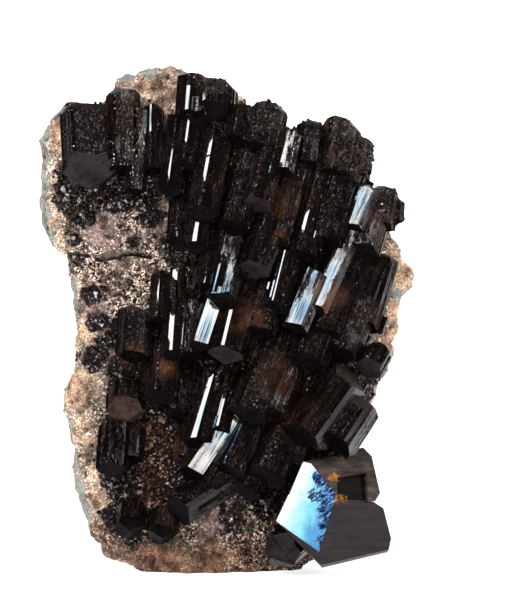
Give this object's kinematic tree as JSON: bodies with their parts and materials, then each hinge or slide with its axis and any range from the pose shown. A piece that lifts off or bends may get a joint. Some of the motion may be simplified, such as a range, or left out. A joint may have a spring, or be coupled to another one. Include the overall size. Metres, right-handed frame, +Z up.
{
  "type": "buergerite tourmaline crystals on matrix",
  "caption": "Natural mineral specimen: dark striated tourmaline prisms packed over a pale tan rock matrix that stands on a flat cut.",
  "frame": {"origin": "a place near the middle of the flat cut that the specimen stands on", "axes": "+Z up, away from the resting face and along the specimen's height; the crystals face -Y"},
  "size_m": [0.0488, 0.0295, 0.0656],
  "materials": {
    "rock": "rough broken stone with grains and pits",
    "crystal": "near-black brown crystal, glassy, finely striated along its length"
  },
  "bodies": {
    "root": {"matrix": "rock", "diamond_end_crystal": "crystal", "lower_centre_prisms": "crystal", "striated_block": "crystal", "right_edge_crystal": "crystal", "lower_right_prisms": "crystal", "lower_shadow_prisms": "crystal", "middle_right_prisms": "crystal", "centre_prisms": "crystal", "middle_left_prisms": "crystal", "lower_left_prisms": "crystal", "short_stub": "crystal", "right_shoulder_crystals": "crystal", "upper_left_prisms": "crystal", "upper_middle_prisms": "crystal", "inner_right_prisms": "crystal", "upper_edge_prisms": "crystal", "upper_right_prisms": "crystal", "top_crystal": "crystal", "top_left_crystals": "crystal", "hollow_block": "crystal", "hollow_cap": "crystal", "hollow_hexagon": "crystal", "hollow_red_crystal": "crystal", "small_end_crystal": "crystal"}
  },
  "joints": []
}
